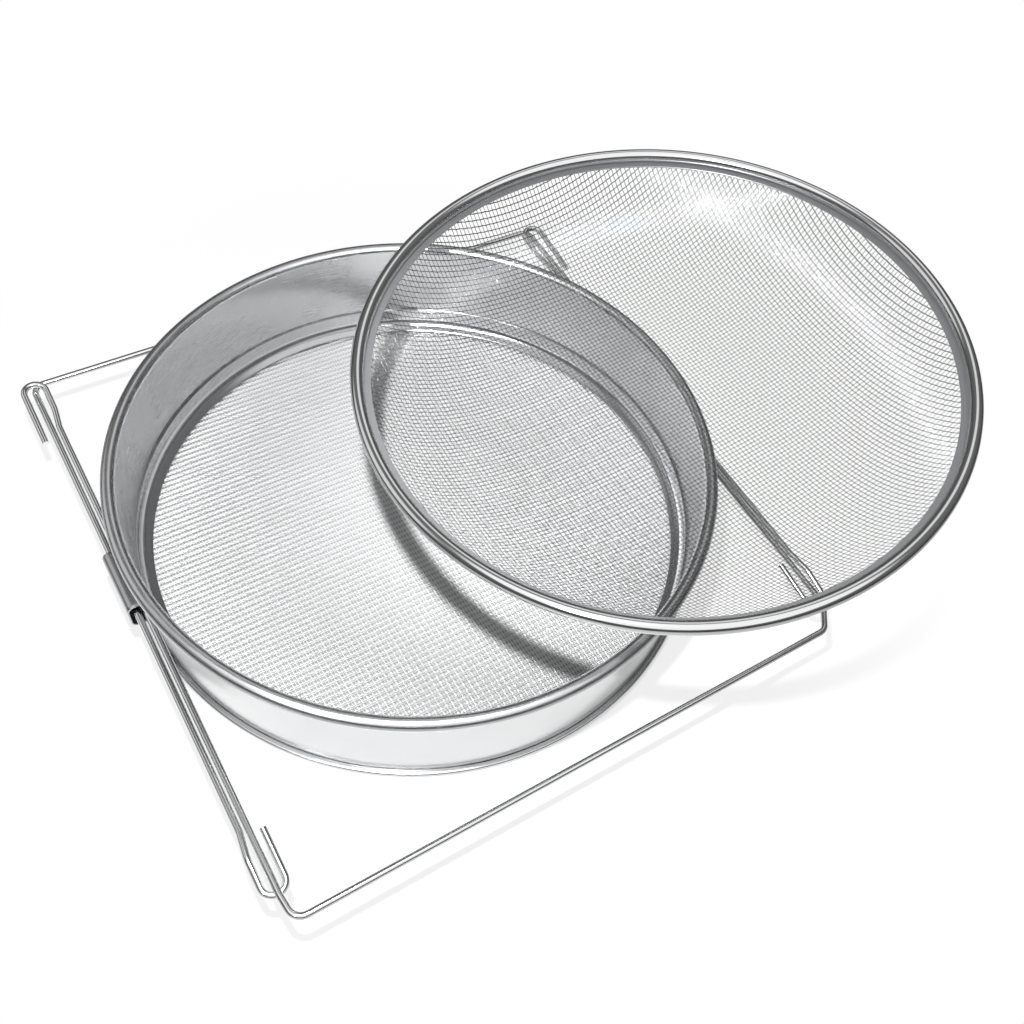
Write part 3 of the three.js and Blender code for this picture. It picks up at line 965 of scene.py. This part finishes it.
@dataclass
class WireArms:
    """The two bent wires that slide in the clips and hook round each other."""

    centre: Vector
    wire: float = 1.3 * MM
    gap: float = 0.4 * MM
    height: float = 25.0 * MM
    front_leg: float = 118.6 * MM
    back_leg: float = 121.6 * MM
    back_bar: float = 118.6 * MM
    front_bar: float = 138.0 * MM
    crossing: float = 3.0 * MM
    hook_half: float = 4.3 * MM
    hook_length: float = 22.0 * MM
    back_hook_length: float = 30.0 * MM
    ramp: float = 10.0 * MM
    corner: float = 5.0 * MM
    inset_length: float = 10.0 * MM
    inset_left: float = 1.0 * MM
    inset_right: float = 7.5 * MM
    bend_step: float = 7.0
    least_steps: int = 2
    shortest: float = 0.1 * MM

    def build(self) -> None:
        """Bends both arms."""
        left, right = self.back_half(-1), self.back_half(1)
        self.arm("back_arm", left + right[::-1], Body.BACK)
        left, right = self.front_half(-1, self.inset_left), self.front_half(1, self.inset_right)
        self.arm("front_arm", left + right[::-1], Body.FRONT)

    def back_half(self, side: int) -> list[tuple[Vector, float]]:
        """Lays out one side of the back arm.

        Args:
            side: -1 for the left side, 1 for the right.

        Returns:
            Corners with their bends, from the hook's end to the bar.
        """
        outer = side * (self.front_leg + self.hook_half)
        inner = side * (self.front_leg - self.hook_half)
        leg = side * self.back_leg
        turn = self.inset_length + self.wire + self.gap - self.front_bar
        under = self.height - self.crossing
        return [
            (Vector((inner, turn + self.hook_length, self.height)), 0.0),
            (Vector((inner, turn, under)), self.hook_half),
            (Vector((outer, turn, under)), self.hook_half),
            (Vector((outer, turn + self.hook_half + self.ramp, self.height)), self.ramp),
            (Vector((leg, turn + self.hook_half + 2 * self.ramp, self.height)), self.ramp),
            (Vector((leg, self.back_bar, self.height)), self.corner),
        ]

    def front_half(self, side: int, inset: float) -> list[tuple[Vector, float]]:
        """Lays out one side of the front arm.

        Args:
            side: -1 for the left side, 1 for the right.
            inset: how far the wire turns in before its front corner.

        Returns:
            Corners with their bends, from the hook's end to the bar.
        """
        outer = side * (self.back_leg + self.hook_half)
        inner = side * (self.back_leg - self.hook_half)
        leg = side * self.front_leg
        turn = self.back_bar - self.wire - self.gap
        over = self.height + self.crossing
        return [
            (Vector((outer, turn - self.back_hook_length, self.height)), 0.0),
            (Vector((outer, turn, over)), self.hook_half),
            (Vector((inner, turn, over)), self.hook_half),
            (Vector((inner, turn - self.hook_half - self.ramp, self.height)), self.ramp),
            (Vector((leg, turn - self.hook_half - 2 * self.ramp, self.height)), self.ramp),
            (Vector((leg, self.inset_length - self.front_bar, self.height)), self.corner),
            (Vector((leg - side * inset, -self.front_bar, self.height)), self.corner),
        ]

    def route(self, corners: list[tuple[Vector, float]]) -> list[Vector]:
        """Rounds every corner of a wire's route to its bend.

        Args:
            corners: corner points with their bend radii.

        Returns:
            The points of the smooth route.
        """
        points = [corners[0][0]]
        for (before, _), (at, bend), (after, _) in zip(corners, corners[1:], corners[2:]):
            arriving = (at - before).normalized()
            leaving = (after - at).normalized()
            turned = arriving.angle(leaving)
            inward = (leaving - arriving * arriving.dot(leaving)).normalized()
            start = at - arriving * bend * math.tan(turned / 2)
            middle = start + inward * bend
            steps = max(self.least_steps, round(math.degrees(turned) / self.bend_step))
            for step in range(steps + 1):
                angle = turned * step / steps
                spot = middle - inward * bend * math.cos(angle) + arriving * bend * math.sin(angle)
                if (spot - points[-1]).length > self.shortest:
                    points.append(spot)
        points.append(corners[-1][0])
        return points

    def arm(self, node: str, corners: list[tuple[Vector, float]], body: Body) -> None:
        """Bends one arm, dresses it and hands it to its body.

        Args:
            node: the solid it stands for.
            corners: corner points with their bend radii.
            body: the moving group it rides on.
        """
        piece = Bench.wire(f"{node}_wire", self.route(corners), self.wire)
        Bench.settle(piece, Matrix.Translation(self.centre))
        finish_piece(piece, node, ARM_WIRE, body, WIRE_CREASE)


@dataclass
class Studio:
    """White floor, painted darker under the drum as shade, soft light and the camera, all placed
    from the middle of the drum's foot.

    Rings are levels at distances, and a glow of the room is its direction, the cosines at which it
    starts and is full, and its level.
    """

    pool: Vector
    camera_off: Vector = Vector((-130.986, -244.952, 399.948)) * MM
    right: Vector = Vector((0.838694, -0.528969, 0.129552))
    up: Vector = Vector((0.377299, 0.735911, 0.562211))
    back: Vector = Vector((-0.392730, -0.422643, 0.816784))
    sensor: float = 36.0
    lens: float = 38.58
    shift: Point = (-0.0704, 0.0175)
    nearest: float = 0.01
    floor_size: float = 30.0
    floor_drop: float = 0.2 * MM
    floor_roughness: float = 0.9
    span: float = 0.4
    # The floor's colour by distance: painted shade, 0.5, under the drum, and pale 0.95 outside it
    painted_floor_shade_rings: Points = ((0.0, 0.5), (0.116, 0.5), (0.118, 0.95), (0.4, 0.95))
    # The floor's white glow to the eye by distance: none under the drum, and full from 24 cm out,
    # where it lightens the floor's shadows away
    eye_rings: Points = (
        (0.0, 0.0), (0.117, 0.0), (0.120, 0.82), (0.17, 0.86), (0.24, 1.0), (0.4, 1.0))
    # In reflections the floor glows as a painted pool of light, full out to 148 mm and faded by
    # 170 mm, centred a little aside of the drum's middle; the rings after it paint shade into that
    # glow under the drum, at a fifth of its level
    painted_pool_rings: Points = ((0.0, 0.9), (0.148, 0.9), (0.170, 0.05), (0.4, 0.03))
    painted_reflection_shade_rings: Points = ((0.0, 0.2), (0.115, 0.2), (0.118, 1.0), (0.4, 1.0))
    mirror_share: float = 0.6
    painted_pool_shift: Vector = Vector((-0.008, 0.004, 0.0))
    key_off: Vector = Vector((-0.105, -0.130, 0.450))
    key_power: float = 13.4
    key_size: float = 0.012
    spot_on: Vector = Vector((0.050, 0.012, 0.0))
    spot_power: float = 9.6
    spot_angle: float = 27.0
    fill_from: Vector = Vector((-0.648, -0.329, 0.687))
    fill_power: float = 0.3
    fill_angle: float = 8.0
    room_light: float = 0.08
    room_shine: float = 0.09
    glows: tuple[tuple[Colour, float, float, float], ...] = (
        ((0.0, 0.0, 1.0), 0.25, 0.75, 0.05),
        ((-0.20, -0.33, 0.92), 0.70, 0.82, 0.85),
        ((-0.62, 0.62, 0.48), 0.90, 0.97, 0.6),
        ((0.46, 0.49, 0.74), 0.955, 0.985, 0.6),
    )

    def build(self) -> None:
        """Sets the view, floor, lamps and surroundings."""
        self.view()
        self.floor()
        self.lamps()
        self.surroundings()
        bpy.context.scene.view_settings.view_transform = "Standard"

    def view(self) -> None:
        """Places the camera."""
        bpy.ops.object.camera_add()
        camera = bpy.context.object
        turn = Matrix((self.right, self.up, self.back)).transposed().to_4x4()
        camera.matrix_world = Matrix.Translation(self.pool + self.camera_off) @ turn
        camera.data.sensor_width = self.sensor
        camera.data.lens = self.lens
        camera.data.shift_x, camera.data.shift_y = self.shift
        camera.data.clip_start = self.nearest
        bpy.context.scene.camera = camera

    def floor(self) -> None:
        """Lays the pale floor, painted darker under the drum as shade: white to the eye, taking
        the shadow, with a painted pool of light round the drum and painted shade under it in
        reflections, dim in reflections far out.
        """
        Bench.clear()
        bpy.ops.mesh.primitive_plane_add(size=self.floor_size, location=(0, 0, -self.floor_drop))
        floor = bpy.context.object
        floor.name = "studio_floor"
        paint = bpy.data.materials.new("pale_floor")
        paint.use_nodes = True
        tree = paint.node_tree
        link = tree.links.new
        shader = tree.nodes["Principled BSDF"]
        shader.inputs["Roughness"].default_value = self.floor_roughness
        shader.inputs["Specular IOR Level"].default_value = 0.0
        place = tree.nodes.new("ShaderNodeTexCoord").outputs["Object"]
        reach = Nodes.compare(tree, "DISTANCE", place, self.pool)
        pool_reach = Nodes.compare(tree, "DISTANCE", place, self.pool + self.painted_pool_shift)
        # Base colour: painted shade under the drum, pale outside it
        link(self.rings(tree, reach, self.painted_floor_shade_rings), shader.inputs["Base Color"])
        eye = tree.nodes.new("ShaderNodeLightPath").outputs["Is Camera Ray"]
        # The glow in reflections: the painted pool of light, with painted shade under the drum
        painted_pool = self.rings(tree, pool_reach, self.painted_pool_rings)
        shine = Nodes.maths(tree, "MULTIPLY", painted_pool, self.rings(tree, reach, self.painted_reflection_shade_rings))
        glow = tree.nodes.new("ShaderNodeEmission")
        link(Nodes.blend(tree, eye, shine, 1.0), glow.inputs["Strength"])
        white = self.rings(tree, reach, self.eye_rings)
        share = Nodes.blend(tree, eye, self.mirror_share, white)
        mix = tree.nodes.new("ShaderNodeMixShader")
        link(Nodes.maths(tree, "MULTIPLY", self.seen_by_eye(tree), share), mix.inputs["Fac"])
        link(shader.outputs["BSDF"], mix.inputs[1])
        link(glow.outputs["Emission"], mix.inputs[2])
        link(mix.outputs["Shader"], tree.nodes["Material Output"].inputs["Surface"])
        floor.data.materials.append(paint)

    def rings(self, tree: Tree, reach: Socket, stops: Points) -> Socket:
        """Adds a level that changes with the distance from a middle.

        Args:
            tree: the tree to add the nodes to.
            reach: the distance.
            stops: distances and the levels there, straight between them.

        Returns:
            The level.
        """
        ramp = tree.nodes.new("ShaderNodeFloatCurve")
        line = ramp.mapping.curves[0]
        while len(line.points) < len(stops):
            line.points.new(0.5, 0.5)
        for knot, (spot, level) in zip(line.points, stops):
            knot.location = (spot / self.span, level)
            knot.handle_type = "VECTOR"
        ramp.mapping.update()
        tree.links.new(Nodes.maths(tree, "DIVIDE", reach, self.span), ramp.inputs["Value"])
        return ramp.outputs["Value"]

    @staticmethod
    def seen_by_eye(tree: Tree) -> Socket:
        """Adds a mask of what the eye sees, straight or by way of metal and glass.

        Args:
            tree: the tree to add the nodes to.

        Returns:
            A socket that is 1 for camera, glossy and transmission rays.
        """
        path = tree.nodes.new("ShaderNodeLightPath")
        total = path.outputs["Is Camera Ray"]
        for name in ("Is Glossy Ray", "Is Transmission Ray"):
            total = Nodes.maths(tree, "MAXIMUM", total, path.outputs[name])
        return total

    @staticmethod
    def hang(kind: str, power: float, at: Vector, towards: Vector) -> bpy.types.Light:
        """Hangs a lamp.

        Args:
            kind: Blender's name for the kind of lamp.
            power: its energy.
            at: its place.
            towards: the way from what it lights back to it.

        Returns:
            The lamp's settings.
        """
        bpy.ops.object.light_add(type=kind, location=at)
        lamp = bpy.context.object
        lamp.rotation_euler = towards.to_track_quat("Z", "Y").to_euler()
        lamp.data.energy = power
        return lamp.data

    def lamps(self) -> None:
        """Hangs the key lamp and its spot beside the camera, and a weak, soft fill on the left."""
        at = self.pool + self.key_off
        key = self.hang("POINT", self.key_power, at, self.key_off)
        spot = self.hang("SPOT", self.spot_power, at, self.key_off - self.spot_on)
        spot.spot_size = math.radians(self.spot_angle)
        spot.spot_blend = 1.0
        key.shadow_soft_size = spot.shadow_soft_size = self.key_size
        fill = self.hang("SUN", self.fill_power, at, self.fill_from)
        fill.angle = math.radians(self.fill_angle)

    def surroundings(self) -> None:
        """Surrounds the strainer with a dim room that has soft boxes, seen in the metal alone."""
        world = bpy.data.worlds.new("dim_room")
        bpy.context.scene.world = world
        world.use_nodes = True
        tree = world.node_tree
        link = tree.links.new
        room = tree.nodes["Background"]
        place = tree.nodes.new("ShaderNodeTexCoord").outputs["Generated"]
        shine: Socket | float = self.room_shine
        for towards, start, full, level in self.glows:
            glow = tree.nodes.new("ShaderNodeMapRange")
            glow.interpolation_type = "SMOOTHSTEP"
            glow.inputs["From Min"].default_value = start
            glow.inputs["From Max"].default_value = full
            glow.inputs["To Max"].default_value = level
            link(Nodes.compare(tree, "DOT_PRODUCT", place, towards), glow.inputs["Value"])
            shine = Nodes.maths(tree, "ADD", glow.outputs["Result"], shine)
        path = tree.nodes.new("ShaderNodeLightPath")
        level = Nodes.blend(tree, path.outputs["Is Glossy Ray"], self.room_light, shine)
        link(level, room.inputs["Strength"])
        white = tree.nodes.new("ShaderNodeBackground")
        for background in (room, white):
            background.inputs["Color"].default_value = (1.0, 1.0, 1.0, 1.0)
        mix = tree.nodes.new("ShaderNodeMixShader")
        link(path.outputs["Is Camera Ray"], mix.inputs["Fac"])
        link(room.outputs["Background"], mix.inputs[1])
        link(white.outputs["Background"], mix.inputs[2])
        link(mix.outputs["Shader"], tree.nodes["World Output"].inputs["Surface"])


def middle_of(node: str) -> Vector:
    """Returns the centre of a solid's box."""
    low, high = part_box(node)
    return (Vector(low) + Vector(high)) / 2


def dress_cores() -> None:
    """Paints the core wires inside the rolled rims, which stay as the solids they are."""
    for node in ("drum_rim_wire", "upper_rim_wire"):
        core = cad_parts[node]
        core.data.materials.clear()
        core.data.materials.append(CORE_WIRE.material())
        LOG.info("%s: carried over", node)


def main() -> None:
    """Builds the strainer's sub-assemblies in order, then the studio."""
    logging.basicConfig(level=logging.INFO, format="%(name)s %(message)s")
    axis = middle_of("drum_wall")
    centre = Vector((axis.x, axis.y, 0.0))
    DrumSieve(centre).build()
    WireArms(centre).build()
    UpperSieve(middle_of("upper_rim_wire")).build()
    dress_cores()
    Studio(centre).build()


if __name__ == "__main__":
    main()
